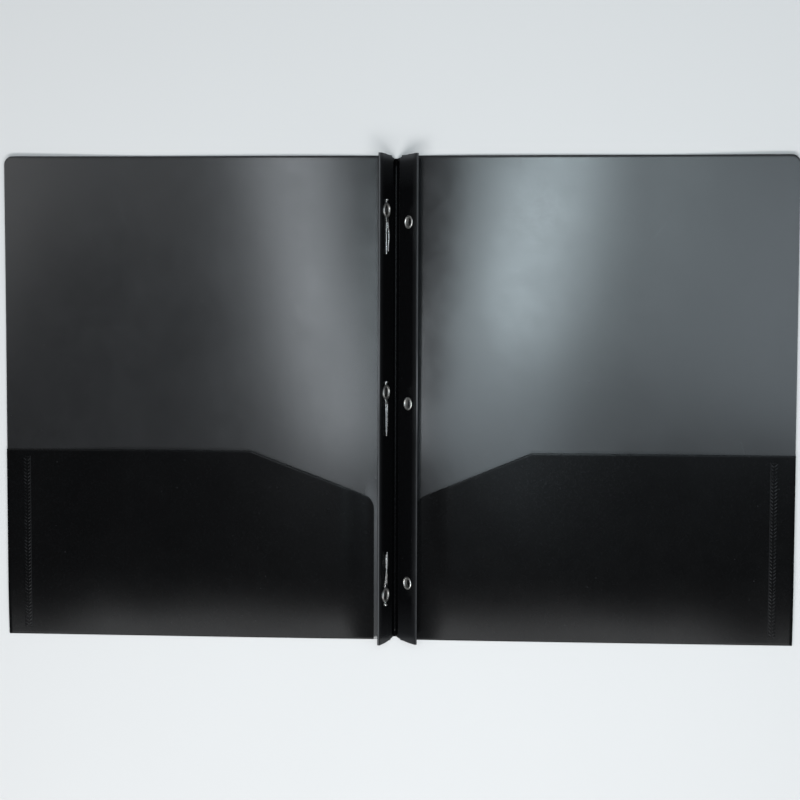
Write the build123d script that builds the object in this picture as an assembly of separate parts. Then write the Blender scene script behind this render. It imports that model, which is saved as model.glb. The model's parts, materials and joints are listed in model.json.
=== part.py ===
from build123d import *
import math
import os

os.makedirs("parts", exist_ok=True)

# A two pocket folder folded from one plastic sheet, lying open on its back.
# Millimetres. X runs across the folder, Y to its top edge and Z up, from the table under the spine.

# Sheet and covers
sheet = 0.5
cover_height = 292.1
half_width = 238.1  # spine valley to the outer edge of a cover
corner_radius = 5.3  # outer top corners

# Pockets, folded up from the bottom edge of the sheet
pocket_height = 114.3  # along the outer edge
pocket_inner_height = 86.0  # along the edge beside the spine
pocket_apex = 83.0  # from the valley to where the top edge starts to fall
pocket_inner_edge = 12.9  # from the valley
pocket_corner_radius = 5.0
pocket_gap = 0.4  # slot between a cover and its pocket

# Weld seams that close the outer side of each pocket
weld_inset = 12.5  # outer edge to the middle of the seam
weld_width = 4.6
weld_bar = 1.6
weld_pitch = 4.0
weld_margin = 4.0  # bare sheet at the seam's two ends

# Spine: two hairpin fins that meet in a valley
back_tilt = 50.0  # degrees from the table to each fin
front_tilt = 68.0
fin_height = 18.9  # valley axis to the top of a fin's ridge
crease_radius = 0.9  # inner bend where a cover turns up into its fin
hairpin_radius = 0.4  # inner bend at a ridge
valley_radius = 1.1  # inner bend between the two fins
valley_clearance = 0.1  # table to the underside of the valley
crease_opening = 20.0  # degrees that each crease can open past its rest angle
crease_slack = 3.0  # degrees left free at the end of that opening
relief_depth = 1.9  # cut back at the two ends of the valley
relief_width = 15.0  # up each fin, to where the curve of the cut meets its end

# Three-hole row of eyelets
hole_spacing = 107.95
hole_shift = -2.0  # middle hole from the middle of the folder's height
hole_rise = 10.9  # valley axis to the hole, up the fin
eyelet_bore = 5.6
eyelet_wall = 0.3
eyelet_flange = 7.75
eyelet_flange_height = 0.55
eyelet_clinch = 7.2
eyelet_clinch_height = 0.5
eyelet_lip = 0.15  # rounding of the bore's two mouths
eyelet_crown = 0.25  # flat top of the rolled flange, and the middle of it, as shares of the flange's width
eyelet_crown_place = 0.45
seat_clearance = 0.05

# Prong fasteners on the front fin
prong_plate_thickness = 0.5
prong_eye = 9.1
prong_eye_offset = 6.9  # bend line to the middle of the eye
prong_lug_reach = 13.5  # bend line to the far end of the curled lug
prong_lug_width = 2.4
prong_lug_radius = 0.5
prong_leg_width = 1.4
prong_leg_tip = 1.1
prong_leg_thickness = 0.4
prong_leg_slit = 0.5  # between the two legs
prong_leg_lift = 0.55  # strip face to the middle of a leg
prong_bend_gap = 0.1  # neck to a leg's rounded root
prong_long_leg = 19.2
prong_short_leg = 17.5
rivet_bore = 6.4
rivet_flange = 8.3
rivet_clinch = 7.8

# Levels that follow from the sizes above
hinge_height = sheet + crease_radius
fin_thickness = 2 * sheet + 2 * hairpin_radius
strip_face = crease_radius + fin_thickness
valley_offset = strip_face + valley_radius
valley_height = valley_clearance + sheet + valley_radius
pocket_bottom = sheet + pocket_gap
fold_radius = sheet + pocket_gap / 2
bottom_edge = -cover_height / 2
eyelet_hole = eyelet_bore / 2 + eyelet_wall + seat_clearance
rivet_hole = rivet_bore / 2 + eyelet_wall + seat_clearance
leg_shift = (prong_leg_slit + prong_leg_width) / 2
hole_rows = {"top": hole_shift + hole_spacing, "middle": hole_shift, "bottom": hole_shift - hole_spacing}
leg_ways = {"top": -1, "middle": -1, "bottom": 1}  # the legs lie towards the middle of the row
sides = {"back": (1, back_tilt), "front": (-1, front_tilt)}


def save(shape, name):
    export_step(shape, f"parts/{name}.step")


def across(side):
    """Plane of the folder's end view, with its first axis from the valley to this side's outer edge."""
    return Plane(origin=(0, 0, 0), x_dir=(side, 0, 0), z_dir=(0, -side, 0))


def crease_axis(tilt):
    """Distance of a crease's axis from the valley, and the valley's place along the fin from that axis."""
    angle = math.radians(tilt)
    along = (valley_height - hinge_height - valley_offset * math.cos(angle)) / math.sin(angle)
    return valley_offset * math.sin(angle) - along * math.cos(angle), along


def fin_plane(side, tilt, along=0.0, out=0.0, y=0.0):
    """Plane in a fin's end view: first axis up the fin, second axis out of the fin into the valley."""
    angle = math.radians(tilt)
    reach, _ = crease_axis(tilt)
    up = Vector(side * math.cos(angle), 0, math.sin(angle))
    normal = Vector(-side * math.sin(angle), 0, math.cos(angle))
    origin = Vector(side * reach, y, hinge_height) + up * along + normal * out
    return Plane(origin=origin, x_dir=up, z_dir=(0, -side, 0))


def arc_band(centre, inner, outer, start, end):
    """A strip of sheet bent round an axis, as a flat section between two angles in degrees."""
    span = end - start
    inside = CenterArc(centre, inner, start, span)
    outside = CenterArc(centre, outer, start, span)
    ends = [Line(inside @ 0, outside @ 0), Line(inside @ 1, outside @ 1)]
    return make_face([inside, outside, *ends])


def cover(side, tilt):
    """Flat panel from the crease to the outer edge, set back where the pocket folds round its foot."""
    reach, _ = crease_axis(tilt)
    top = cover_height / 2
    folded = bottom_edge + fold_radius
    corners = [
        (reach, bottom_edge),
        (pocket_inner_edge, bottom_edge),
        (pocket_inner_edge, folded),
        (half_width, folded),
        (half_width, top),
        (reach, top),
    ]
    outline = make_face(Polyline(*corners, close=True))
    outline = fillet(outline.vertices().sort_by_distance((half_width, top, 0))[0], corner_radius)
    return mirrored(extrude(outline, sheet), side)


def mirrored(shape, side):
    """A shape drawn for the back cover, or its mirror image for the front cover."""
    return shape if side > 0 else mirror(shape, Plane.YZ)


def pocket(side):
    """Pocket flap: level along its outer part, falling towards the spine."""
    low = bottom_edge + fold_radius
    corners = [
        (pocket_inner_edge, low),
        (half_width, low),
        (half_width, bottom_edge + pocket_height),
        (pocket_apex, bottom_edge + pocket_height),
        (pocket_inner_edge, bottom_edge + pocket_inner_height),
    ]
    outline = make_face(Polyline(*corners, close=True))
    inner_corner = outline.vertices().sort_by_distance((*corners[-1], 0))[0]
    outline = fillet(inner_corner, pocket_corner_radius)
    return mirrored(Pos(0, 0, pocket_bottom) * extrude(outline, sheet), side)


def pocket_fold(side):
    """The sheet's half turn from the cover's bottom edge up into the pocket."""
    section = arc_band((bottom_edge + fold_radius, fold_radius), pocket_gap / 2, fold_radius, 90, 270)
    turn = extrude(Plane.YZ * section, half_width - pocket_inner_edge)
    return mirrored(Pos(pocket_inner_edge, 0, 0) * turn, side)


def weld_seam(side):
    """Row of fused bars in the slot, between the cover and the pocket."""
    run = pocket_height - fold_radius - 2 * weld_margin - weld_bar
    count = int(run // weld_pitch) + 1
    first = bottom_edge + fold_radius + weld_margin + weld_bar / 2
    bar = Box(weld_width, weld_bar, pocket_gap)
    level = sheet + pocket_gap / 2
    bars = [
        Pos(side * (half_width - weld_inset), first + n * weld_pitch, level) * bar for n in range(count)
    ]
    return Compound(children=bars)


def crease(side, tilt):
    """Bend between a cover and its fin, stopping short by the angle that the crease can open."""
    reach, _ = crease_axis(tilt)
    start = 90 + tilt + crease_opening + crease_slack
    section = arc_band((reach, hinge_height), crease_radius, crease_radius + sheet, start, 270)
    return extrude(across(side) * section, cover_height / 2, both=True)


def spine_fold():
    """Bend at the bottom of the valley, carried by the back fin."""
    first = -90 - front_tilt + crease_opening + crease_slack
    last = -90 + back_tilt
    section = arc_band((0, valley_height), valley_radius, valley_radius + sheet, first, last)
    return extrude(across(1) * section, cover_height / 2 - relief_depth, both=True)


def fin(side, tilt, hole_places, hole_radius):
    """Doubled strip of sheet with a hairpin ridge, eyelet holes and curved reliefs at the valley's two ends."""
    _, valley = crease_axis(tilt)
    ridge = valley + fin_height - hairpin_radius - sheet
    middle = crease_radius + sheet + hairpin_radius
    outer_layer = crease_radius + sheet
    inner_layer = strip_face - sheet
    section = [
        Line((0, crease_radius), (ridge, crease_radius)),
        CenterArc((ridge, middle), hairpin_radius + sheet, -90, 180),
        Line((ridge, strip_face), (valley, strip_face)),
        Line((valley, strip_face), (valley, inner_layer)),
        Line((valley, inner_layer), (ridge, inner_layer)),
        CenterArc((ridge, middle), hairpin_radius, -90, 180),
        Line((ridge, outer_layer), (0, outer_layer)),
        Line((0, outer_layer), (0, crease_radius)),
    ]
    folded = extrude(fin_plane(side, tilt) * make_face(section), cover_height / 2, both=True)
    for y in hole_places:
        hole = Cylinder(hole_radius, 2 * fin_thickness)
        folded -= strip_seat(side, tilt, hole_rise, -fin_thickness / 2, y) * hole
    relief_radius = (relief_width**2 + relief_depth**2) / (2 * relief_depth)
    relief_middle = relief_radius - math.sqrt(relief_radius**2 - relief_width**2 / 4)
    for end in (cover_height / 2, bottom_edge):
        corners = [
            (relief_width, 0),
            (relief_width, -relief_depth),
            (-relief_depth, -relief_depth),
            (-relief_depth, relief_depth),
            (0, relief_depth),
        ]
        curve = ThreePointArc((0, relief_depth), (relief_width / 2, relief_middle), (relief_width, 0))
        outline = make_face([Polyline(*corners), curve])
        notch = extrude(outline, sheet / 2 + hairpin_radius, both=True)
        turn = Rot(180 if end * side > 0 else 0, 0, 0)
        folded -= strip_seat(side, tilt, 0, -sheet / 2, end) * turn * notch
    return folded


def strip_seat(side, tilt, rise, out, y):
    """Plane on a fin's valley face: first axis up the fin, third axis out of the face."""
    _, valley = crease_axis(tilt)
    end_view = fin_plane(side, tilt, valley + rise, strip_face + out, y)
    return Plane(end_view.origin, x_dir=end_view.x_dir, z_dir=end_view.y_dir)


def eyelet(stack, bore_width, flange_width, rim_width):
    """Tubular eyelet with a rolled flange on its seat and a clinched rim behind a stack of sheets."""
    bore = bore_width / 2
    flange = flange_width / 2
    rim = rim_width / 2
    barrel = bore + eyelet_wall
    flat = eyelet_crown * (flange - bore)
    crown = bore + eyelet_crown_place * (flange - bore)
    section = [
        (bore, eyelet_lip - stack),
        (bore, -eyelet_lip),
        (crown - flat / 2, eyelet_flange_height),
        (crown + flat / 2, eyelet_flange_height),
        (flange, 0),
        (barrel, 0),
        (barrel, -stack),
        (rim, -stack),
        ((bore + rim) / 2, -stack - eyelet_clinch_height),
    ]
    return revolve(Plane.XZ * make_face(Polyline(*section, close=True)), Axis.Z)


def prong_frame(row):
    """Plane on the front fin at a prong's bend line: first axis along the legs, third out of the fin."""
    seat = strip_seat(*sides["front"], hole_rise, 0, hole_rows[row])
    return Plane(seat.origin, x_dir=(0, leg_ways[row], 0), z_dir=seat.z_dir)


def prong_plate(row):
    """Flat steel eye with a neck up to the bend line and a curled lug at its far end."""
    neck_end = -prong_leg_thickness / 2 - prong_bend_gap
    neck_length = prong_eye_offset + neck_end
    neck_width = 2 * prong_leg_width + prong_leg_slit
    lug_length = prong_lug_reach - prong_lug_radius - prong_eye_offset
    eye = Pos(-prong_eye_offset, 0) * Circle(prong_eye / 2)
    neck = Pos(neck_end - neck_length / 2, 0) * Rectangle(neck_length, neck_width)
    lug = Pos(-prong_eye_offset - lug_length / 2, 0) * Rectangle(lug_length, prong_lug_width)
    outline = eye + neck + lug - Pos(-prong_eye_offset, 0) * Circle(rivet_hole)
    curl = Pos(prong_lug_radius - prong_lug_reach, 0, prong_lug_radius) * Rot(90, 0, 0)
    plate = extrude(outline, prong_plate_thickness) + curl * Cylinder(prong_lug_radius, prong_lug_width)
    return prong_frame(row) * plate


def prong_leg(row, shift, length):
    """Soft steel leg that tapers to a round tip, with a round root on its bend line."""
    root = prong_leg_width / 2
    tip = prong_leg_tip / 2
    corners = [(0, -root), (length, -tip), (length, tip), (0, root)]
    outline = make_face(Polyline(*corners, close=True))
    outline = fillet(outline.vertices().group_by(Axis.X)[-1], 0.9 * tip)
    blade = extrude(outline, prong_leg_thickness / 2, both=True)
    blade += Rot(90, 0, 0) * Cylinder(prong_leg_thickness / 2, prong_leg_width)
    return prong_frame(row) * Pos(0, shift, prong_leg_lift) * blade


for name, (side, tilt) in sides.items():
    save(cover(side, tilt), f"{name}_cover")
    save(crease(side, tilt), f"{name}_crease")
    save(pocket(side), f"{name}_pocket")
    save(pocket_fold(side), f"{name}_pocket_fold")
    save(weld_seam(side), f"{name}_weld_seam")

eyes = {row: y - leg_ways[row] * prong_eye_offset for row, y in hole_rows.items()}
save(fin(*sides["back"], hole_rows.values(), eyelet_hole), "back_fin")
save(fin(*sides["front"], eyes.values(), rivet_hole), "front_fin")
save(spine_fold(), "spine_fold")

for row, y in hole_rows.items():
    ring = eyelet(fin_thickness, eyelet_bore, eyelet_flange, eyelet_clinch)
    save(strip_seat(*sides["back"], hole_rise, 0, y) * ring, f"eyelet_{row}")
    rivet = eyelet(fin_thickness + prong_plate_thickness, rivet_bore, rivet_flange, rivet_clinch)
    head = strip_seat(*sides["front"], hole_rise, prong_plate_thickness, eyes[row])
    save(head * rivet, f"prong_rivet_{row}")
    save(prong_plate(row), f"prong_plate_{row}")
    towards_ridge = leg_ways[row] * leg_shift
    save(prong_leg(row, towards_ridge, prong_long_leg), f"prong_leg_{row}_ridge")
    save(prong_leg(row, -towards_ridge, prong_short_leg), f"prong_leg_{row}_valley")
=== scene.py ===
import json
import math
import bmesh
import bpy
import numpy as np
from mathutils import Matrix, Vector


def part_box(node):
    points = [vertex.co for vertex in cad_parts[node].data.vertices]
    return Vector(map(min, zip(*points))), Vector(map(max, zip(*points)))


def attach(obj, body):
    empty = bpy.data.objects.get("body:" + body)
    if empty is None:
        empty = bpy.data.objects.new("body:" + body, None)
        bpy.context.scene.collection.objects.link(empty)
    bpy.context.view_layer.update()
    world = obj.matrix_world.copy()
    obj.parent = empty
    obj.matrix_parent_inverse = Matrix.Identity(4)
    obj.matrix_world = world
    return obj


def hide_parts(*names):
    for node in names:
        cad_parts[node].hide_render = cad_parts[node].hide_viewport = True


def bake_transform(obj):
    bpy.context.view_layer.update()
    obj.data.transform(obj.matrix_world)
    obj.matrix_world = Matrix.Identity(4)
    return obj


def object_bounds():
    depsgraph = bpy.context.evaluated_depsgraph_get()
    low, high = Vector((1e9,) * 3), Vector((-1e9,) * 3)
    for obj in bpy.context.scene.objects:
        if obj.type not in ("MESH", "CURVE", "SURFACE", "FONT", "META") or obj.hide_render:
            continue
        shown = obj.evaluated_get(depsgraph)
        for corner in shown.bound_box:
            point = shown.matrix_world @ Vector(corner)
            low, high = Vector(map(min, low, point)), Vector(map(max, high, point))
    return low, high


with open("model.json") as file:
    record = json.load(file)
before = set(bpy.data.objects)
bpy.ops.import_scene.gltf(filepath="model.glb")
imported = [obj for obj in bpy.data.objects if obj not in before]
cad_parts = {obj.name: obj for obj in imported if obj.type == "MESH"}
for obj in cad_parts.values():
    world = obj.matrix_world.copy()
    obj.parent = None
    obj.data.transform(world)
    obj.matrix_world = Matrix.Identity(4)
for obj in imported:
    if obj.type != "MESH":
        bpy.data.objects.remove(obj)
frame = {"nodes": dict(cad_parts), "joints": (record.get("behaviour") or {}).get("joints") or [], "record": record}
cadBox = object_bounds()
mm = 0.001
rows = ("top", "middle", "bottom")
joints = {joint["name"]: joint for joint in frame["joints"]}
mounts = {mount["name"]: mount for mount in frame["record"]["mounts"]}
yAxis = np.array([0.0, 1.0, 0.0])
print("frame loaded")


# helpers

def smooth(t):  # smoothstep: 0 below 0, 1 above 1, level at both ends
    t = np.clip(t, 0.0, 1.0)
    return t * t * (3.0 - 2.0 * t)


def rising(value, start, span):  # 0 up to the start, then smoothly to 1 over the span
    return smooth((value - start) / span)


def falling(value, end, span):  # 1 until a span before the end, then smoothly to 0
    return smooth((end - value) / span)


def spread(*runs):  # one array out of (start, end, count) runs that follow each other
    parts = [np.linspace(a, b, n, endpoint=False) for a, b, n in runs]
    return np.append(np.concatenate(parts), runs[-1][1])


def gridFaces(across, along, closeAcross=False, closeAlong=False):
    # quads of a grid whose points run row by row, joined up round either way if asked
    i = np.arange(across if closeAcross else across - 1)[:, None]
    j = np.arange(along if closeAlong else along - 1)[None, :]
    iNext, jNext = (i + 1) % across, (j + 1) % along
    corners = (i * along + j, iNext * along + j, iNext * along + jNext, i * along + jNext)
    return np.stack([np.broadcast_to(c, (i.size, j.size)) for c in corners], -1).reshape(-1, 4)


def meshFrom(name, shells, attributes=None):  # shells: (points, faces) pairs that become one mesh
    points, loops, sizes, start = [], [], [], 0
    for shellPoints, shellFaces in shells:
        flat = np.asarray(shellPoints, float).reshape(-1, 3)
        points.append(flat)
        for faces in shellFaces:
            loops.append((np.asarray(faces) + start).ravel())
            sizes.append(np.full(len(faces), np.asarray(faces).shape[1]))
        start += len(flat)
    points, loops, sizes = np.concatenate(points), np.concatenate(loops), np.concatenate(sizes)
    mesh = bpy.data.meshes.new(name)
    mesh.vertices.add(len(points))
    mesh.vertices.foreach_set("co", points.astype(np.float32).ravel())
    mesh.loops.add(len(loops))
    mesh.loops.foreach_set("vertex_index", loops.astype(np.int32))
    mesh.polygons.add(len(sizes))
    mesh.polygons.foreach_set("loop_start", (np.cumsum(sizes) - sizes).astype(np.int32))
    mesh.polygons.foreach_set("use_smooth", np.ones(len(sizes), bool))
    mesh.update(calc_edges=True)
    mesh.validate()
    for key, values in (attributes or {}).items():
        layer = mesh.attributes.new(key, "FLOAT", "POINT")
        layer.data.foreach_set("value", values.astype(np.float32).ravel())
    return mesh


def addPiece(name, mesh, material, closed=True):
    if closed:  # a closed shell has its faces turned outwards
        work = bmesh.new()
        work.from_mesh(mesh)
        bmesh.ops.recalc_face_normals(work, faces=work.faces)
        work.to_mesh(mesh)
        work.free()
    piece = bpy.data.objects.new(name, mesh)
    bpy.context.scene.collection.objects.link(piece)
    piece.data.materials.append(material)
    return piece


cutEdgeLook = {"segments": 2, "sharp": 50.0}   # degrees from which an edge is softened


def thicken(piece, thickness, edge=0.0):  # half the thickness on each side, and a softened cut edge
    solid = piece.modifiers.new("thickness", "SOLIDIFY")
    solid.thickness = thickness
    solid.offset = 0.0
    solid.use_even_offset = True
    if edge:
        bevel = piece.modifiers.new("cut edge", "BEVEL")
        bevel.width = edge
        bevel.segments = cutEdgeLook["segments"]
        bevel.limit_method = "ANGLE"
        bevel.angle_limit = math.radians(cutEdgeLook["sharp"])


# materials

class Wire:  # a socket in a node tree: sums and products of wires add Math nodes
    def __init__(self, tree, socket=None):
        self.tree = tree
        self.socket = socket

    def make(self, kind, settings=None, sockets=None, out=0):  # settings first, then values or links
        node = self.tree.nodes.new(kind)
        for key, value in (settings or {}).items():
            if key == "stops":
                ramp = node.color_ramp.elements
                while len(ramp) < len(value):
                    ramp.new(0.5)
                for stop, (place, grey) in zip(ramp, value):
                    stop.position = place
                    stop.color = (grey, grey, grey, 1.0)
            else:
                setattr(node, key, value)
        for key, value in (sockets or {}).items():
            if isinstance(value, Wire):
                self.tree.links.new(value.socket, node.inputs[key])
            else:
                node.inputs[key].default_value = value
        return Wire(self.tree, node.outputs[out])

    def maths(self, operation, first, second):
        return self.make("ShaderNodeMath", {"operation": operation}, {0: first, 1: second})

    def __add__(self, other):
        return self.maths("ADD", self, other)

    def __radd__(self, other):
        return self.maths("ADD", other, self)

    def __sub__(self, other):
        return self.maths("SUBTRACT", self, other)

    def __rsub__(self, other):
        return self.maths("SUBTRACT", other, self)

    def __mul__(self, other):
        return self.maths("MULTIPLY", self, other)

    def __rmul__(self, other):
        return self.maths("MULTIPLY", other, self)

    def ramp(self, *stops):  # grey levels at places along the value
        return self.make("ShaderNodeValToRGB", {"stops": stops}, {0: self})

    def colour(self, low, high):  # from one colour to another as the value goes from 0 to 1
        ends = [end if isinstance(end, Wire) else (*end, 1.0) for end in (low, high)]
        return self.make("ShaderNodeMix", {"data_type": "RGBA"}, {0: self, 6: ends[0], 7: ends[1]}, 2)

    def noise(self, size, detail=2.0, roughness=0.5, stretch=(1.0, 1.0, 1.0), turn=0.0):  # size in mm
        spans = {"Vector": self, "Rotation": (0.0, 0.0, turn)}
        spans["Scale"] = tuple(1.0 / share for share in stretch)
        place = self.make("ShaderNodeMapping", {"vector_type": "TEXTURE"}, spans)
        values = {"Vector": place, "Scale": 1.0 / size, "Detail": detail, "Roughness": roughness}
        return self.make("ShaderNodeTexNoise", {}, values)

    def cells(self, perMm):  # distance to the middle of the nearest cell
        return self.make("ShaderNodeTexVoronoi", {"feature": "F1"}, {"Vector": self, "Scale": perMm})

    def along(self, axis):  # X, Y or Z of a place
        return self.make("ShaderNodeSeparateXYZ", {}, {0: self}, axis)

    def painted(self, name):  # a value that the mesh carries at its points
        return self.make("ShaderNodeAttribute", {"attribute_name": name}, {}, 2)


def newMaterial(name, **constants):  # the shader's constant values go straight onto its sockets
    material = bpy.data.materials.new(name)
    material.use_nodes = True
    tree = material.node_tree
    shader = tree.nodes["Principled BSDF"]
    for key, value in constants.items():
        shader.inputs[key.replace("_", " ")].default_value = value
    metres = Wire(tree).make("ShaderNodeTexCoord", {}, {}, "Object")
    place = metres.make("ShaderNodeVectorMath", {"operation": "SCALE"}, {0: metres, "Scale": 1 / mm})
    return material, tree, shader, place   # place is in millimetres


def join(tree, shader, **links):
    for key, wire in links.items():
        tree.links.new(wire.socket, shader.inputs[key.replace("_", " ")])


def bumped(place, height, strength, depth):  # depth in mm
    values = {"Strength": strength, "Distance": depth * mm, "Height": height}
    return place.make("ShaderNodeBump", {}, values)


satinSheet = {  # inside faces of the covers: fine satin grain
    "dark": (0.0042, 0.0045, 0.0050), "light": (0.0085, 0.0090, 0.0100), "wearAndSheen": (0.088, 0.090, 0.095),
    "roughness": 0.225, "gloss": 0.5, "grain": 0.55, "grainDepth": 0.008,
    "smudge": 0.07, "scuff": 0.045, "dust": 0.17, "edge": 0.06,
}
smoothSheet = {  # pockets, spine strips and folds: the darker, finely embossed face of the sheet
    "dark": (0.0007, 0.0007, 0.0008), "light": (0.0024, 0.0025, 0.0028), "wearAndSheen": (0.026, 0.026, 0.028),
    "roughness": 0.22, "gloss": 0.072, "grain": 0.42, "grainDepth": 0.012,
    "smudge": 0.05, "scuff": 0.03, "dust": 1.0, "edge": 0.05,
}
finSheet = {**smoothSheet, "dark": (0.0019, 0.0019, 0.0021), "light": (0.0042, 0.0043, 0.0047)}
sheetLook = {   # what all faces of the sheet share
    "grain": (2.0, 0.6),   # detail and roughness of its noise
    "smudge": (46.0, 4.0, 0.55), "cloud": (9.0, 3.0, 0.6),   # with the size in mm first
    "mottle": (1.2, 1.0, 0.5), "handled": (70.0, 2.0, 0.5), "streak": (1.0, 2.0, 0.5),
    "streakSets": (((0.035, 1.1, 0.4), 0.9, 0.66), ((1.3, 0.028, 0.4), 0.35, 0.67)),
    "streakSoft": 0.08,   # a set is its stretch, its turn and the noise value at which streaks begin
    "pebbles": 0.8, "flecks": 0.11, "dots": 1.25,   # cells in a grain, and in a mm
    "grainStops": ((0.42, 0.0), (0.72, 1.0)), "mottleStops": ((0.50, 0.0), (0.72, 1.0)),
    "handledStops": ((0.46, 0.0), (0.66, 1.0)), "fleckStops": ((0.022, 1.0), (0.034, 0.0)),
    "dotStops": ((0.09, 1.0), (0.16, 0.0)),
    "insideStops": ((0.25, 0.0), (0.4, 1.0)),   # mm over the table, up to a cover's inside face
    "dotTone": (0.1, 0.1, 0.104),
    "shade": {"grain": 0.35, "mottle": 0.45, "smudge": 0.30, "scuff": 0.25},   # shares of the lighter tone
    "rough": {"grain": 0.10, "cloud": 0.05},
    "bump": {"grain": 0.7, "pebble": 0.5, "scuff": 0.25}, "bumpStrength": 0.5,
}
ridgeLook = {
    "line": 0.16, "haze": 4.5,   # mm below the ridge in which the painted highlight line and the painted sheen below it fade
    "lineTone": (0.15, 0.152, 0.158), "lineStops": ((0.15, 0.0), (0.75, 1.0)), "lineRough": 0.1,
    "hazeTone": (0.0125, 0.0128, 0.0135), "hazeStops": ((0.0, 0.0), (1.0, 1.0)),
    "hazePatches": (0.6, 0.5), "linePatches": (0.5, 0.65),   # how much they vary, and their least level
    "length": 292,         # mm, of the spine
    # strength of each ridge's painted highlight line from the bottom to the top of the spine
    "back": ((0.0, 0.22), (0.42, 0.25), (0.5, 1.0), (0.56, 0.9), (0.6, 0.35), (1.0, 0.28)),
    "front": ((0.0, 0.45), (0.46, 0.4), (0.54, 0.8), (0.62, 0.7), (0.75, 0.45), (1.0, 0.4)),
    # paleness of the strip's two ends
    "ends": ((0.0, 0.4), (0.018, 0.13), (0.045, 0.06), (0.085, 0.0), (0.93, 0.0),
             (0.975, 0.1), (0.987, 0.2), (0.993, 0.65), (1.0, 1.0)),
    "endTone": (0.058, 0.059, 0.062),
}


def paintedRidgeLight(place, cloud, tone, rough, up, ridge, side):
    # paler ends of a fin, a painted highlight line along the ridge where its sheet is folded, and a soft painted
    # sheen below that line
    along = {0: place, 1: tuple(up)}
    below = ridge - place.make("ShaderNodeVectorMath", {"operation": "DOT_PRODUCT"}, along, "Value")
    upSpine = place.along("Y") * (1 / ridgeLook["length"]) + 0.5
    vary, least = ridgeLook["hazePatches"]
    # painted sheen below the ridge, then the painted highlight line along it
    haze = (1 - below * (1 / ridgeLook["haze"])).ramp(*ridgeLook["hazeStops"]) * (cloud * vary + least)
    vary, least = ridgeLook["linePatches"]
    line = (1 - below * (1 / ridgeLook["line"])).ramp(*ridgeLook["lineStops"]) * (cloud * vary + least)
    line = line * upSpine.ramp(*ridgeLook[side])
    tone = upSpine.ramp(*ridgeLook["ends"]).colour(tone, ridgeLook["endTone"])
    tone = line.colour(haze.colour(tone, ridgeLook["hazeTone"]), ridgeLook["lineTone"])
    return tone, rough + line * ridgeLook["lineRough"]


def sheetMaterial(name, look, crest=None):  # crest: direction up a fin, height of its ridge in mm, side
    material, tree, shader, place = newMaterial(name, IOR=1.49, Specular_IOR_Level=look["gloss"])
    grain = place.noise(look["grain"], *sheetLook["grain"])
    pebble = place.cells(sheetLook["pebbles"] / look["grain"])
    smudge = place.noise(*sheetLook["smudge"])
    cloud = place.noise(*sheetLook["cloud"])
    streaks = []
    for stretch, turn, least in sheetLook["streakSets"]:
        streak = place.noise(*sheetLook["streak"], stretch, turn)
        streaks.append(streak.ramp((least, 0.0), (least + sheetLook["streakSoft"], 1.0)))
    handled = place.noise(*sheetLook["handled"]).ramp(*sheetLook["handledStops"])
    scuffs = (streaks[0] + streaks[1]) * handled
    dust = place.cells(sheetLook["flecks"]).ramp(*sheetLook["fleckStops"]) * look["dust"]
    insideFace = place.along("Z").ramp(*sheetLook["insideStops"])
    wearAndSheen = place.painted("rim") + place.painted("rubbed") * insideFace   # worn edges, and a painted sheen only on the inside face
    paleGrain = grain.ramp(*sheetLook["grainStops"])
    mottle = place.noise(*sheetLook["mottle"]).ramp(*sheetLook["mottleStops"])
    share = sheetLook["shade"]
    shade = paleGrain * share["grain"] + mottle * share["mottle"]
    shade = shade + smudge * share["smudge"] + scuffs * share["scuff"]
    # the pale tone marks worn edges and dust, and the painted sheen beside the front pocket
    tone = (wearAndSheen + dust).colour(shade.colour(look["dark"], look["light"]), look["wearAndSheen"])
    dots = place.cells(sheetLook["dots"]).ramp(*sheetLook["dotStops"])   # fine pale specks in the emboss
    tone = (dots * place.painted("specks")).colour(tone, sheetLook["dotTone"])
    share = sheetLook["rough"]
    rough = look["roughness"] + (grain - 0.5) * share["grain"]
    rough = rough + (smudge - 0.5) * look["smudge"] + (cloud - 0.5) * share["cloud"]
    rough = rough + scuffs * look["scuff"] + wearAndSheen * look["edge"] - place.painted("polish")
    if crest:
        tone, rough = paintedRidgeLight(place, cloud, tone, rough, *crest)
    share = sheetLook["bump"]
    height = grain * share["grain"] + pebble * share["pebble"] - scuffs * share["scuff"]
    join(tree, shader, Base_Color=tone, Roughness=rough)
    join(tree, shader, Normal=bumped(place, height, sheetLook["bumpStrength"], look["grainDepth"]))
    return material


coverMaterial = sheetMaterial("satin sheet", satinSheet)
pocketMaterial = sheetMaterial("smooth sheet", smoothSheet)
valleyMaterial = sheetMaterial("valley sheet", {**smoothSheet, "gloss": 0.05})

nickelLook = {"bright": (0.86, 0.85, 0.82), "dull": (0.60, 0.58, 0.55), "roughness": 0.33, "pits": 0.25}
steelLook = {"bright": (0.74, 0.74, 0.73), "dull": (0.44, 0.43, 0.42), "roughness": 0.24, "pits": 0.35}
metalLook = {   # what both metals share; a noise's size in mm, detail and roughness, the pits without size
    "stain": (2.6, 4.0, 0.6), "lines": (0.16, 2.0, 0.5), "pits": (3.0, 0.6),
    "wearStops": ((0.36, 0.0), (0.70, 1.0)), "shadeAndDullTone": (0.03, 0.03, 0.03),
    "rough": {"wear": 0.14, "lines": 0.12, "bore": 0.2},
    "bump": {"lines": 0.6, "pits": 0.4}, "bumpStrength": 0.35, "bumpDepth": 0.02,
}


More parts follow.
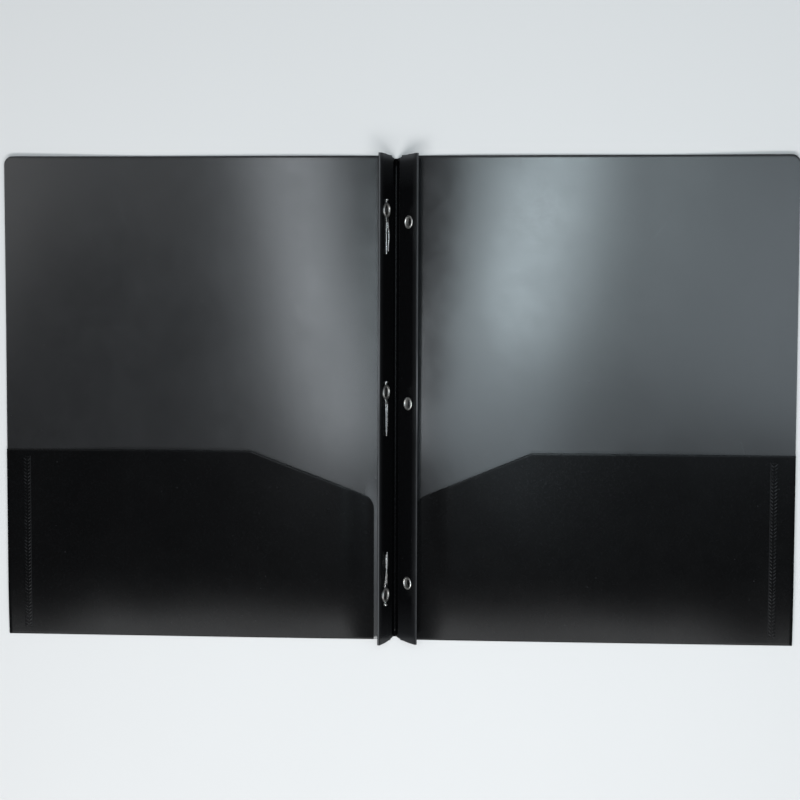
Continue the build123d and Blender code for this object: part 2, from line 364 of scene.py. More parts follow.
def metalMaterial(name, look, grainStretch):
    material, tree, shader, place = newMaterial(name, Metallic=1.0)
    lines = place.noise(*metalLook["lines"], grainStretch)
    pits = place.noise(look["pits"], *metalLook["pits"])
    wear = place.noise(*metalLook["stain"]).ramp(*metalLook["wearStops"])
    inside = place.painted("inside")   # painted shade on the wall of a bore, darker deeper in, and the dull tone of some parts
    tone = inside.colour(wear.colour(look["bright"], look["dull"]), metalLook["shadeAndDullTone"])
    share = metalLook["rough"]
    rough = look["roughness"] + wear * share["wear"] + (lines - 0.5) * share["lines"]
    rough = rough + inside * share["bore"]
    height = lines * metalLook["bump"]["lines"] + pits * metalLook["bump"]["pits"]
    join(tree, shader, Base_Color=tone, Roughness=rough)
    join(tree, shader, Normal=bumped(place, height, metalLook["bumpStrength"], metalLook["bumpDepth"]))
    return material


nickelMaterial = metalMaterial("nickel plate", nickelLook, (1.0, 1.0, 1.0))
steelMaterial = metalMaterial("soft steel", steelLook, (1.0, 0.06, 1.0))
print("materials made")


# covers

coverLook = {
    "bow": 0.9,            # mm, how high the sheet stands off the table
    "peak": 0.26,          # place of the top of the bow, as a share of the cover's width
    "start": {"back": 0.07, "front": 0.03},   # share of the width in which the bow begins
    "pocketBow": 0.50,     # share of the bow that is left where the pocket lies
    "bowGrows": (0.2, 0.6),      # shares of the height: start, and length, of its growth to the full bow
    "cornerLift": 0.6,     # mm, the outer top corner
    "edgeLift": 1.6,       # mm, the outer edge, which falls to the bottom corner
    "outerPart": (0.55, 0.45),   # shares of the width and of the height in which the edge and corner lift
    "edgeBlend": 46.0,     # mm above the bottom fold in which the edge falls
    "edgePower": 2.3,
    "cornerRadius": 5.3,   # mm, as cut
    "cutEdge": 0.12,       # mm, its rounding
    "ripple": 0.12,        # mm
    "rippleTurns": (9.0, 4.0),   # radians up the cover and across it
    "rippleStart": 0.2,    # share of the width in which it begins
    "rim": 0.7,            # mm, width of the worn edge
    "rimTone": 0.1,
    # smoother beside the crease: by how much, in how many mm, and the share of it low on the cover
    "polish": {"back": (0.14, 46.0, 0.75), "front": (0.04, 32.0, 0.35)},
    "polishUp": (0.35, 0.5),     # shares of the height in which the low share grows to all of it
    "overall": {"back": 0.0, "front": 0.02},   # smoother all over by
    "rubbed": {"back": 0.0, "front": 0.74},    # painted highlight: a paler band of the inside face beside the pocket's inner edge
    "paintedSheenTop": (0.36, 0.12),   # shares of the height: end, and length, of its fading
    "paintedSheenLevel": (0.25, 2.4),  # at the bottom, and its growth up the cover
    "paintedSheenReach": (16.0, 4.0),  # mm from the crease: end, and length, of its fading
    "columns": ((0.0, 0.12, 22), (0.12, 0.6, 44), (0.6, 1.0, 26)),   # the grid's runs: from, to, count
    "rows": ((0.0, 0.03, 4), (0.03, 0.97, 100), (0.97, 1.0, 5)),
    "cornerSteps": 9,
}
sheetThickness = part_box("back_cover")[1].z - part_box("back_cover")[0].z
sides = {"back": 1.0, "front": -1.0}


def coverSpan(side):  # crease x, outer x, bottom y and top y of a cover
    low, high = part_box(side + "_cover")
    if side == "back":
        return low.x, high.x, low.y, high.y
    return high.x, low.x, low.y, high.y


def coverRise(side, reach, y):
    # a bow s/p * e^(1 - s/p) over the share s of the width, flattened near the crease, lower in the pocket,
    # plus a lift of the outer edge and its top corner, and a slow ripple
    crease, outer, bottom, top = coverSpan(side)
    s = np.clip(reach / abs(outer - crease), 0.0, None)
    s = s * s / (s + coverLook["start"][side])
    dome = s / coverLook["peak"] * np.exp(1.0 - s / coverLook["peak"])
    v = (y - bottom) / (top - bottom)
    level = coverLook["pocketBow"] + (1.0 - coverLook["pocketBow"]) * rising(v, *coverLook["bowGrows"])
    fall = np.clip(1.0 - (y - bottom) / (coverLook["edgeBlend"] * mm), 0.0, 1.0) ** coverLook["edgePower"]
    cornerPart, outerPart = rising(v, *coverLook["outerPart"]), rising(s, *coverLook["outerPart"])
    lift = (coverLook["cornerLift"] * cornerPart + coverLook["edgeLift"] * (1.0 - fall)) * outerPart
    turnsUp, turnsOut = coverLook["rippleTurns"]
    wave = coverLook["ripple"] * np.sin(turnsUp * v + turnsOut * s) * smooth(s / coverLook["rippleStart"])
    return (coverLook["bow"] * dome * level + lift + wave) * mm


def makeCover(side):
    # a grid out from the crease and up from the bottom fold, its outer top corner round, lifted by coverRise
    crease, outer, bottom, top = coverSpan(side)
    width = abs(outer - crease)
    corner = coverLook["cornerRadius"] * mm
    inner = spread(*coverLook["columns"]) * (width - corner)
    turn = np.linspace(0.0, math.pi / 2, coverLook["cornerSteps"])[1:]
    reach = np.concatenate([inner, width - corner + corner * np.sin(turn)])
    topEdge = np.concatenate([np.full(inner.size, top), top - corner + corner * np.cos(turn)])
    v = spread(*coverLook["rows"])
    reachGrid = reach[:, None] + 0.0 * v[None, :]
    y = bottom + (topEdge - bottom)[:, None] * v[None, :]
    x = crease + sides[side] * reachGrid
    z = coverRise(side, reachGrid, y) + sheetThickness / 2
    edge = np.minimum(width - reachGrid, topEdge[:, None] - y)
    rim = coverLook["rimTone"] * (1.0 - smooth(edge / (coverLook["rim"] * mm)))
    # painted highlight: the inside face beside the front pocket is made paler, lower on the cover and near the
    # crease
    least, growth = coverLook["paintedSheenLevel"]
    rubbed = coverLook["rubbed"][side] * falling(v, *coverLook["paintedSheenTop"]) * (least + growth * v)
    rubbed = rubbed * falling(reachGrid / mm, *coverLook["paintedSheenReach"])
    amount, span, lowShare = coverLook["polish"][side]
    upward = lowShare + (1.0 - lowShare) * rising(v, *coverLook["polishUp"])
    polish = coverLook["overall"][side] + amount * smooth(1.0 - reachGrid / (span * mm)) * upward
    name = side + "CoverSheet"
    shell = (np.stack([x, y, z], -1), [gridFaces(reach.size, v.size)])
    mesh = meshFrom(name, [shell], {"rim": rim, "rubbed": rubbed, "polish": polish})
    piece = addPiece(name, mesh, coverMaterial, closed=False)
    thicken(piece, sheetThickness, coverLook["cutEdge"] * mm)
    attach(piece, side + "_cover")
    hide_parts(side + "_cover")


for side in sides:
    makeCover(side)
print("covers made")


# pockets

pocketLook = {
    "apex": {"back": 82.0, "front": 88.0},   # mm from the middle of the spine to where the edge is level
    "innerHeight": 86.0,   # mm, height of the inner edge
    "apexSoft": 0.12,      # mm, rounding of the apex
    "cornerRadius": 5.0,   # mm, the inner top corner
    "cornerDrop": 1.25,    # its height, in radii
    "cutEdge": 0.05,       # mm, its rounding
    "bulge": 2.15,         # mm, how far the flap stands off the cover
    "lipFall": 0.4,        # mm less at the top edge
    "lipBlend": 90.0,      # mm below the top edge in which it is less
    "foldStart": 0.7,      # mm above the bottom, where the flap begins to rise from its fold, steepest there
    "foldBlend": 42.0,     # mm in which it rises
    "foldPower": 2.0,
    "spineStart": 15.0,    # mm from the middle of the spine, up to which the flap lies flat
    "spineBlend": 20.0,    # mm in which it then rises
    "weldBlend": 60.0,     # mm in which it rises from the weld
    "ripple": 0.10,        # mm
    "rippleTurns": (0.061, 0.045),   # radians for each mm out and up
    "rim": 0.6,            # mm, width of the worn edge
    "rimTone": 0.03,
    "specks": {"back": 0.55, "front": 0.08},
    "speckPlace": (85.0, 15.0),      # mm from the middle of the spine, and below the top edge
    "speckSpread": (55.0, 30.0),
    "apexRun": 4.0,        # mm each side of the apex with a finer grid
    "columns": (30, 28, 70),
    "rows": ((0.0, 0.06, 6), (0.06, 0.94, 64), (0.94, 1.0, 6)),
    "cornerSteps": 9,
    "foldSteps": 13,
}


def pocketSpan(side):  # of the flat flap: inner and outer x, bottom and top y, underside and upper face z
    low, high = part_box(side + "_pocket")
    inner, outer = (low.x, high.x) if side == "back" else (high.x, low.x)
    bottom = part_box(side + "_pocket_fold")[0].y
    return {"inner": inner, "outer": outer, "bottom": bottom, "top": high.y, "under": low.z, "over": high.z}


def pocketTop(side, x):
    # level from the outer edge to the apex, then a straight fall to the inner edge, whose corner is round
    span = pocketSpan(side)
    fromInner = np.abs(x) - abs(span["inner"])
    drop = span["top"] - (span["bottom"] + pocketLook["innerHeight"] * mm)
    slope = drop / (pocketLook["apex"][side] * mm - abs(span["inner"]))
    soft = pocketLook["apexSoft"] * mm
    edge = span["top"] - soft * np.logaddexp(0.0, (drop - fromInner * slope) / soft)
    radius = pocketLook["cornerRadius"] * mm
    bite = np.clip(radius - fromInner, 0.0, radius)
    return edge - (radius - np.sqrt(radius * radius - bite * bite)) * pocketLook["cornerDrop"]


def pocketBulge(side, x, y):
    # zero at the weld, at the bottom fold and beside the spine, less at the free top edge
    low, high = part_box(side + "_weld_seam")
    weld = abs(low.x if side == "back" else high.x)
    fromWeld = smooth((weld - np.abs(x)) / (pocketLook["weldBlend"] * mm))
    fromSpine = rising(np.abs(x), pocketLook["spineStart"] * mm, pocketLook["spineBlend"] * mm)
    overFold = (y - pocketSpan(side)["bottom"]) / mm - pocketLook["foldStart"]
    fromFold = np.clip(overFold, 0.0, pocketLook["foldBlend"]) / pocketLook["foldBlend"]
    fromFold = 1.0 - (1.0 - fromFold) ** pocketLook["foldPower"]
    atLip = smooth(1.0 - (pocketTop(side, x) - y) / (pocketLook["lipBlend"] * mm))
    turnsOut, turnsUp = pocketLook["rippleTurns"]
    wave = pocketLook["ripple"] * np.sin(np.abs(x) / mm * turnsOut + y / mm * turnsUp)
    height = pocketLook["bulge"] - pocketLook["lipFall"] * atLip + wave
    return height * fromWeld * fromSpine * fromFold * mm


def pocketHeight(side, x, y):  # mid-surface of the flap over the bowed cover
    span = pocketSpan(side)
    reach = np.abs(x - coverSpan(side)[0])
    return coverRise(side, reach, y) + (span["under"] + span["over"]) / 2 + pocketBulge(side, x, y)


def makePocket(side):
    # a grid across the pocket: round the bottom fold in a half circle, then up the flap to its top edge
    span = pocketSpan(side)
    inner, outer, bottom = span["inner"], span["outer"], span["bottom"]
    thickness = span["over"] - span["under"]
    middle = sheetThickness / 2
    radius = ((span["under"] + span["over"]) / 2 - middle) / 2
    corner = pocketLook["cornerRadius"] * mm
    turn = np.linspace(0.0, math.pi / 2, pocketLook["cornerSteps"])[:-1]
    apex = pocketLook["apex"][side] * mm - abs(inner)
    near = pocketLook["apexRun"] * mm
    stops = (corner, apex - near, apex + near, abs(outer) - abs(inner))
    runs = zip(stops[:-1], stops[1:], pocketLook["columns"])
    x = inner + sides[side] * np.concatenate([corner * (1 - np.cos(turn)), spread(*runs)])
    wrap = np.linspace(0.0, math.pi, pocketLook["foldSteps"])[:-1]
    v = spread(*pocketLook["rows"])
    xGrid = x[:, None] + 0.0 * np.append(wrap, v)[None, :]
    yStart = bottom + radius + thickness / 2
    yFold = yStart - radius * np.sin(wrap)
    yFlap = yStart + (pocketTop(side, x) - yStart)[:, None] * v[None, :]
    y = np.concatenate([np.broadcast_to(yFold, (x.size, wrap.size)), yFlap], 1)
    reach = np.abs(xGrid - coverSpan(side)[0])
    zFold = middle + radius * (1 - np.cos(wrap))[None, :] + coverRise(side, reach, y)[:, :wrap.size]
    z = np.concatenate([zFold, pocketHeight(side, xGrid, y)[:, wrap.size:]], 1)
    edge = np.minimum(np.abs(xGrid - inner), pocketTop(side, x)[:, None] - y)
    rim = pocketLook["rimTone"] * (1.0 - smooth(edge / (pocketLook["rim"] * mm)))
    placeOut, placeDown = pocketLook["speckPlace"]
    spreadOut, spreadUp = pocketLook["speckSpread"]
    speckOut = (np.abs(xGrid) - placeOut * mm) / (spreadOut * mm)
    speckUp = (span["top"] - placeDown * mm - y) / (spreadUp * mm)
    specks = pocketLook["specks"][side] * np.exp(-np.hypot(speckOut, speckUp) ** 2)   # most below the apex
    name = side + "PocketSheet"
    shell = (np.stack([xGrid, y, z], -1), [gridFaces(x.size, wrap.size + v.size)])
    mesh = meshFrom(name, [shell], {"rim": rim, "specks": specks})
    piece = addPiece(name, mesh, pocketMaterial, closed=False)
    thicken(piece, thickness, pocketLook["cutEdge"] * mm)
    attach(piece, side + "_cover")
    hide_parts(side + "_pocket", side + "_pocket_fold")


weldLook = {
    "columns": (-0.27, 0.24),   # places across the band, as shares of its width
    "columnWidth": 0.75,   # mm
    "columnPower": 4,      # higher is squarer
    "pitch": 2.1,          # mm, from dash to dash
    "slant": 0.8,          # mm that a dash falls for each mm across
    "dashPower": 2.5,      # higher is shorter
    "depth": 0.07,         # mm
    "proud": 0.03,         # mm over the flap
    "thickness": 0.2,      # mm
    "endBlend": 0.01,      # share of its length in which the dashes fade at each end
    "bead": 0.06,          # mm, height of the squeezed bead on the inner side
    "beadWidth": 0.3,      # mm
    "beadPlace": 0.46,     # share of the band's width
    "beadTone": 0.3, "dashTone": 0.5,
    "patches": (0.45, 0.6, 0.3),        # mean paleness of the dashes and the size of its two waves
    "patchTurns": (0.21, 0.083, 0.47),  # radians for each mm
    "patchRange": (0.05, 1.0),
    "grid": (41, 640),
}


def makeWeld(side):
    # a band on the flap: two columns of slanted dashes, and a narrow bead that runs along its inner side
    low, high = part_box(side + "_weld_seam")
    acrossSteps, alongSteps = weldLook["grid"]
    across = np.linspace(-0.5, 0.5, acrossSteps)
    along = np.linspace(0.0, 1.0, alongSteps)
    width = high.x - low.x
    x = ((low.x + high.x) / 2 - sides[side] * across * width)[:, None] + 0.0 * along[None, :]
    y = low.y + (high.y - low.y) * along[None, :] + 0.0 * x
    dash = 0.0 * y
    for k, column in enumerate(weldLook["columns"]):
        aside = (across - column)[:, None] * width / mm
        slanted = y / mm + (1 - 2 * k) * weldLook["slant"] * aside
        beat = np.clip(np.cos(2 * math.pi * slanted / weldLook["pitch"] + k), 0.0, 1.0)
        within = np.exp(-(aside / weldLook["columnWidth"]) ** weldLook["columnPower"])
        dash = dash + within * beat ** weldLook["dashPower"]
    dash = dash * smooth(np.minimum(along, 1 - along) / weldLook["endBlend"])
    fromBead = (across - weldLook["beadPlace"]) * width / (weldLook["beadWidth"] * mm)
    bead = np.exp(-(fromBead ** 2))[:, None]
    mean, long, short = weldLook["patches"]
    turnsA, turnsB, turnsC = weldLook["patchTurns"]
    patchy = mean + long * np.sin(y / mm * turnsA + sides[side]) * np.sin(y / mm * turnsB)
    patchy = np.clip(patchy + short * np.sin(y / mm * turnsC), *weldLook["patchRange"])
    lift = weldLook["proud"] + weldLook["depth"] * dash + weldLook["bead"] * bead
    z = pocketHeight(side, x, y) + sheetThickness / 2 + lift * mm
    name = side + "WeldBand"
    shell = (np.stack([x, y, z], -1), [gridFaces(across.size, along.size)])
    rim = weldLook["beadTone"] * bead + weldLook["dashTone"] * dash * patchy
    mesh = meshFrom(name, [shell], {"rim": rim})
    piece = addPiece(name, mesh, pocketMaterial, closed=False)
    thicken(piece, weldLook["thickness"] * mm)
    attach(piece, side + "_cover")
    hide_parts(side + "_weld_seam")


for side in sides:
    makePocket(side)
    makeWeld(side)
print("pockets made")


# spine: creases, fins

creaseLook = {
    "thickness": 0.56,     # mm, a little over the sheet
    "overlap": 2.0,        # mm onto each neighbour
    "bendStart": 0.3,      # mm past the ends of the arc; the places there are worked out, but nothing uses them
    "turnSteps": 22, "overlapSteps": 4, "rows": 60,
}


def direction(x, z):
    return np.array([x, 0.0, z])


backOut = np.array(mounts["eyelet_top_hole"]["axis"])   # out of the eyelet strip's face
frontOut = np.array(mounts["prong_top"]["axis"])        # out of the prong strip's face
backUp = direction(backOut[2], -backOut[0])             # up the fin, from its crease to its ridge
frontUp = direction(-frontOut[2], frontOut[0])
backCrease = np.array(joints["back_fin_crease"]["pos_m"])
frontCrease = np.array(joints["front_cover_crease"]["pos_m"])
valley = np.array(joints["spine_crease"]["pos_m"])


def foldStrip(name, axis, radius, startAngle, endAngle, lead, trail, spanNode, material):
    # a straight lead, an arc of the radius round the axis and a straight trail, carried along the spine
    overlap = creaseLook["overlap"] * mm
    angle = np.linspace(startAngle, endAngle, creaseLook["turnSteps"])[:, None]
    arc = axis + radius * (np.cos(angle) * direction(1, 0) + np.sin(angle) * direction(0, 1))
    run = spread((0.0, 1.0, creaseLook["overlapSteps"]))
    leadPoints = arc[0] + lead * overlap * (1.0 - run[:-1])[:, None]
    trailPoints = arc[-1] + trail * overlap * run[1:][:, None]
    profile = np.concatenate([leadPoints, arc, trailPoints])
    low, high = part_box(spanNode)
    y = np.linspace(low.y, high.y, creaseLook["rows"])
    points = np.repeat(profile[:, None, :], y.size, 1)
    points[:, :, 1] = y[None, :]
    mesh = meshFrom(name, [(points, [gridFaces(len(profile), y.size)])])
    piece = addPiece(name, mesh, material, closed=False)
    thicken(piece, creaseLook["thickness"] * mm)
    start = arc[0] + lead * creaseLook["bendStart"] * mm
    end = arc[-1] + trail * creaseLook["bendStart"] * mm
    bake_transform(piece)
    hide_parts(spanNode)


def angleOf(v):
    return math.atan2(v[2], v[0])


coverRadius = backCrease[2] - sheetThickness / 2
foldRadius = valley[2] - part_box("spine_fold")[0].z - sheetThickness / 2
foldStrip("backCreaseFold", backCrease, coverRadius, -math.pi / 2, angleOf(backOut) - 2 * math.pi,
          direction(1, 0), backUp, "back_crease", coverMaterial)
foldStrip("frontCreaseFold", frontCrease, coverRadius, -math.pi / 2, angleOf(frontOut),
          direction(-1, 0), frontUp, "front_crease", coverMaterial)
foldStrip("valleyFold", valley, foldRadius, angleOf(-backOut), angleOf(-frontOut),
          backUp, frontUp, "spine_fold", valleyMaterial)
for side, up in (("back", backUp), ("front", frontUp)):   # the fins keep their solids
    fin = frame["nodes"][side + "_fin"]
    corners = np.empty(3 * len(fin.data.vertices), np.float32)
    fin.data.vertices.foreach_get("co", corners)
    ridge = float((corners.reshape(-1, 3) @ up).max() / mm)
    fin.data.materials.clear()
    fin.data.materials.append(sheetMaterial(side + " fin sheet", finSheet, (up, ridge, side)))
print("spine made")


# eyelets and rivets

eyeletLook = {   # radii and crown in mm; painted shade at the bore's mouth and deep in it, and dullness of the flange
    "bore": 2.8, "flange": 3.875, "clinch": 3.6, "crown": 0.42, "skew": 0.9,
    "inside": (0.25, 0.65), "dull": 0.0,
}
rivetLook = {
    "bore": 3.2, "flange": 4.15, "clinch": 3.9, "crown": 0.28, "skew": 0.6,
    "inside": (0.0, 1.0), "dull": 0.4,
}
rollLook = {
    "wall": 0.3, "clinchHeight": 0.45,   # mm
    "stack": 1.8,          # mm, the two layers of the fin and the gap between them
    "flat": 0.75,          # below 1 the rolled flange is flatter than a half-ellipse
    "boreEdge": 0.02,      # mm outside the bore that still count as its wall
    "deepen": 1.5,         # how soon the painted shade on the bore's wall is as dark as deep in it
    "turn": 96, "flangeSteps": 23, "clinchSteps": 15, "boreSteps": 5,
}


def revolve(profile, centre, axis, side, count):  # (radius, height) pairs turned round the axis
    angle = np.linspace(0.0, 2 * math.pi, count, endpoint=False)
    across = np.cos(angle)[None, :, None] * side + np.sin(angle)[None, :, None] * yAxis
    points = centre + profile[:, 0][:, None, None] * across + profile[:, 1][:, None, None] * axis
    return points, [gridFaces(len(profile), count, True, True)]


def rolledProfile(look, seat):
    # bore, rolled flange, barrel and clinched rim, as one closed section in mm; with a skew below 1 the
    # flange's crown is farther out
    bore, flange, clinch = look["bore"], look["flange"], look["clinch"]
    wall, stack = rollLook["wall"], rollLook["stack"]
    over = np.linspace(math.pi, 0.0, rollLook["flangeSteps"])
    back = np.linspace(0.0, -math.pi, rollLook["clinchSteps"])
    crown = seat + look["crown"] * np.sin(over) ** rollLook["flat"]
    top = np.stack([bore + (flange - bore) * (0.5 + 0.5 * np.cos(over)) ** look["skew"], crown], -1)
    low = np.stack([(bore + clinch) / 2 + (clinch - bore) / 2 * np.cos(back),
                    -stack + rollLook["clinchHeight"] * np.sin(back)], -1)
    barrel = np.array([[bore + wall, seat], [bore + wall, -stack]])
    boreHeights = np.linspace(-stack, seat, rollLook["boreSteps"])[1:-1]
    boreWall = np.stack([np.full(boreHeights.size, bore), boreHeights], -1)
    return np.concatenate([top, barrel, low, boreWall])


def makeRolled(name, look, seat, centre, axis, up, body, node):
    profile = rolledProfile(look, seat)
    shell = revolve(profile * mm, centre, axis, up, rollLook["turn"])
    # painted shade in the bore: its wall darker the deeper it goes
    mouth, deep = look["inside"]
    depth = (seat - profile[:, 1]) / rollLook["stack"]
    graded = mouth + (deep - mouth) * smooth(depth * rollLook["deepen"])
    shadeAndDullness = np.where(profile[:, 0] < look["bore"] + rollLook["boreEdge"], graded, look["dull"])
    mesh = meshFrom(name, [shell], {"inside": np.repeat(shadeAndDullness, rollLook["turn"])})
    piece = addPiece(name, mesh, nickelMaterial)
    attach(piece, body)
    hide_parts(node)


for row in rows:
    middle = np.array(mounts[f"eyelet_{row}_hole"]["pos_m"])
    seat = middle + backOut * rollLook["stack"] * mm / 2
    makeRolled(f"eyelet{row.title()}", eyeletLook, 0.0, seat, backOut, backUp, "back_fin", f"eyelet_{row}")
print("eyelets made")


# prong fasteners

prongLook = {   # mm, unless a note says otherwise
    "lift": 0.55,          # middle of a leg over the strip's face
    "plate": 0.5, "eye": 4.55, "eyeHole": 3.5,
    "ringPower": 0.55,     # below 1 the ring's section is squarer than an ellipse
    "ringDull": 0.4,       # dullness, a share
    "neck": 3.3, "neckThickness": 0.44,
    "neckSink": 0.9,       # into the ring
    "neckGap": 0.02,       # short of the legs' roots
    "neckWaist": 0.12,     # share of its width that it loses half way
    "neckClimb": 1.25,     # above 1 it reaches the legs' height before its end
    "lugReach": 13.5, "lugWidth": 2.4, "lugEnd": 0.9,
    "lugSink": 0.7,        # into the ring
    "curl": 0.5, "curlEnd": 0.4,
    "leg": 0.5, "legWidth": 1.4, "legTip": 1.1, "slit": 0.5,
    "legWave": 7.0,        # radians along a leg
    "corners": {"neck": 0.45, "lug": 0.5, "curl": 1.0, "leg": 1.0},   # of the sections, 1 is an ellipse
    "ringGrid": (24, 72), "neckSteps": 14, "legSteps": 22, "tipSteps": 7, "cornerSteps": 4,
    "tipShare": 0.12,      # least share of a strip's width at its very end
}
prongBend = {   # mm: sideways drift of each leg's tip, its wave, its rise at the tip and half way
    "top": {"ridge": (0.30, 0.15, 0.2, 0.0), "valley": (0.10, -0.15, 0.25, 0.75)},
    "middle": {"ridge": (-0.30, -0.12, 0.25, 0.1), "valley": (0.35, 0.12, 0.0, 0.05)},
    "bottom": {"ridge": (-1.1, 0.30, 0.7, 0.55), "valley": (1.0, -0.25, 0.0, 0.0)},
}


def roundedSection(corner):  # a square from -1 to 1 each way, its corners rounded, as (across, up) pairs
    turn = np.linspace(0.0, math.pi / 2, prongLook["cornerSteps"])
    quarters = []
    for k, (sx, sy) in enumerate(((1, 1), (-1, 1), (-1, -1), (1, -1))):
        angle = turn + k * math.pi / 2
        x = sx * (1.0 - corner) + corner * np.cos(angle)
        y = sy * (1.0 - corner) + corner * np.sin(angle)
        quarters.append(np.stack([x, y], -1))
    return np.concatenate(quarters)


def sweepStrip(path, up, out, width, height, corner):
    # a round-cornered section carried along the path, with its width and height given at each point of it
    n = len(path)
    width, height = np.broadcast_to(width, (n,)), np.broadcast_to(height, (n,))
    shape = roundedSection(corner)
    points = (path[:, None, :] + shape[None, :, 0, None] * width[:, None, None] / 2 * up
              + shape[None, :, 1, None] * height[:, None, None] / 2 * out)
    ring = len(shape)
    caps = [np.arange(ring)[None, ::-1], (n - 1) * ring + np.arange(ring)[None, :]]
    return points, [gridFaces(n, ring, False, True)] + caps


def roundEnds(length, endRadius):
    # places along a strip with half-round ends, and the share of its width at each
    turn = np.linspace(0.0, math.pi / 2, prongLook["tipSteps"])
    start = endRadius * (1 - np.cos(turn))
    share = np.clip(np.sin(turn), prongLook["tipShare"], 1)
    middle = np.linspace(endRadius, length - endRadius, prongLook["legSteps"])[1:-1]
    place = np.concatenate([start, middle, length - start[::-1]])
    return place, np.concatenate([share, np.ones(middle.size), share[::-1]])


def squared(wave):  # a sine or cosine pushed out towards a square wave
    return np.sign(wave) * np.abs(wave) ** prongLook["ringPower"]


def makeProng(row):
    bend = np.array(mounts[f"prong_{row}"]["pos_m"])
    face = bend - frontOut * prongLook["lift"] * mm
    low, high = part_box(f"prong_rivet_{row}")
    eyeShift = (low.y + high.y) / 2 - bend[1]
    away = math.copysign(1.0, eyeShift)
    eye = face + yAxis * eyeShift
    plate = prongLook["plate"]
    corners = prongLook["corners"]

    def at(origin, along, aside=0.0, over=0.0):  # mm from the origin: away from the legs, to the ridge, out
        along, aside, over = np.broadcast_arrays(along, aside, over)
        return (origin + yAxis * away * along[:, None] * mm + frontUp * aside[:, None] * mm
                + frontOut * over[:, None] * mm)

    # plate: round-edged ring, neck to the bend, lug on the far side with a curl at its end
    sectionSteps, ringSteps = prongLook["ringGrid"]
    turn = np.linspace(0.0, 2 * math.pi, sectionSteps + 1)[:-1]
    middle = (prongLook["eye"] + prongLook["eyeHole"]) / 2
    ringWidth = prongLook["eye"] - prongLook["eyeHole"]
    section = np.stack([middle + ringWidth / 2 * squared(np.cos(turn)),
                        plate / 2 + plate / 2 * squared(np.sin(turn))], -1)
    ring = revolve(section * mm, eye, frontOut, frontUp, ringSteps)
    reach = np.linspace(0.0, 1.0, prongLook["neckSteps"])
    bendReach = abs(eyeShift) / mm
    neckStart = prongLook["eye"] - prongLook["neckSink"]
    neckEnd = bendReach - prongLook["leg"] / 2 - prongLook["neckGap"]
    climb = plate / 2 + (prongLook["lift"] - plate / 2) * smooth(reach * prongLook["neckClimb"])
    neckPath = at(eye, -(neckStart + (neckEnd - neckStart) * reach), over=climb)
    neckWidth = prongLook["neck"] * (1.0 - prongLook["neckWaist"] * np.sin(reach * math.pi)) * mm
    neckThickness = prongLook["neckThickness"] * mm
    neck = sweepStrip(neckPath, frontUp, frontOut, neckWidth, neckThickness, corners["neck"])
    lugStart = prongLook["eye"] - prongLook["lugSink"]
    lugPlace, lugShare = roundEnds(prongLook["lugReach"] - bendReach - lugStart, prongLook["lugEnd"])
    lugPath = at(eye, lugStart + lugPlace, over=plate / 2)
    lugWidth = prongLook["lugWidth"] * lugShare * mm
    lug = sweepStrip(lugPath, frontUp, frontOut, lugWidth, plate * mm, corners["lug"])
    curl = prongLook["curl"]
    curlPlace, curlShare = roundEnds(prongLook["lugWidth"], prongLook["curlEnd"])
    curlPath = at(eye, prongLook["lugReach"] - bendReach - curl, curlPlace - prongLook["lugWidth"] / 2, curl)
    curlWidth = 2 * curl * curlShare * mm
    roll = sweepStrip(curlPath, yAxis, frontOut, curlWidth, curlWidth, corners["curl"])
    name = f"prongPlate{row.title()}"
    shells = [ring, neck, lug, roll]
    dull = [np.zeros(points[..., 0].size) for points, faces in shells]
    dull[0] += prongLook["ringDull"]
    mesh = meshFrom(name, shells, {"inside": np.concatenate(dull)})
    piece = addPiece(name, mesh, steelMaterial)
    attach(piece, "front_fin")
    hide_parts(f"prong_plate_{row}")

    # rivet: the same rolled section as an eyelet, its flange on the plate
    name = f"prongRivet{row.title()}"
    makeRolled(name, rivetLook, plate, eye, frontOut, frontUp, "front_fin", f"prong_rivet_{row}")

    # legs: thin strips with half-round tips, drifting and rising a little towards the tip
    for leg, sign in (("ridge", 1.0), ("valley", -1.0)):
        node = f"prong_leg_{row}_{leg}"
        low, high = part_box(node)
        length = (bend[1] - low.y if away > 0 else high.y - bend[1]) / mm
        root = prongLook["leg"] / 2   # the leg's root turns about the bend
        place, share = roundEnds(length + root, prongLook["legTip"] / 2)
        place = place - root
        t = np.clip(place / length, 0.0, 1.0)
        drift, wave, rise, hump = prongBend[row][leg]
        aside = sign * (prongLook["slit"] + prongLook["legWidth"]) / 2
        aside = aside + drift * smooth(t) + wave * np.sin(t * prongLook["legWave"]) * t
        height = rise * t * t + hump * np.sin(math.pi * t) ** 2
        taper = prongLook["legWidth"] + (prongLook["legTip"] - prongLook["legWidth"]) * t
        strip = sweepStrip(at(bend, -place, aside, height), frontUp, frontOut,
                           taper * share * mm, prongLook["leg"] * share * mm, corners["leg"])
        name = f"prongLeg{row.title()}{leg.title()}"
        piece = addPiece(name, meshFrom(name, [strip]), steelMaterial)
        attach(piece, node)
        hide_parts(node)


for row in rows:
    makeProng(row)
print("prong fasteners made")


# floor, light and camera

floorLook = {
    "size": 7.0, "steps": 9,   # metres
    "drop": 0.02,              # mm under the part
    "tone": (0.59, 0.583, 0.576), "shade": (0.56, 0.553, 0.546), "roughness": 0.9,
    "noise": (300.0, 3.0),     # mm, detail
}


def makeFloor():  # a flat square grid just under the part
    half, steps = floorLook["size"] / 2, floorLook["steps"]
    a = np.linspace(-half, half, steps)
    level = cadBox[0].z - floorLook["drop"] * mm
    points = np.stack(np.broadcast_arrays(a[:, None], a[None, :], level), -1)
    material, tree, shader, place = newMaterial("floor paper", Roughness=floorLook["roughness"])
    paper = place.noise(*floorLook["noise"]).colour(floorLook["shade"], floorLook["tone"])
    join(tree, shader, Base_Color=paper)
    floor = bpy.data.objects.new("floor", meshFrom("floor", [(points, [gridFaces(steps, steps)])]))
    floor.data.materials.append(material)
    bpy.context.scene.collection.objects.link(floor)


makeFloor()

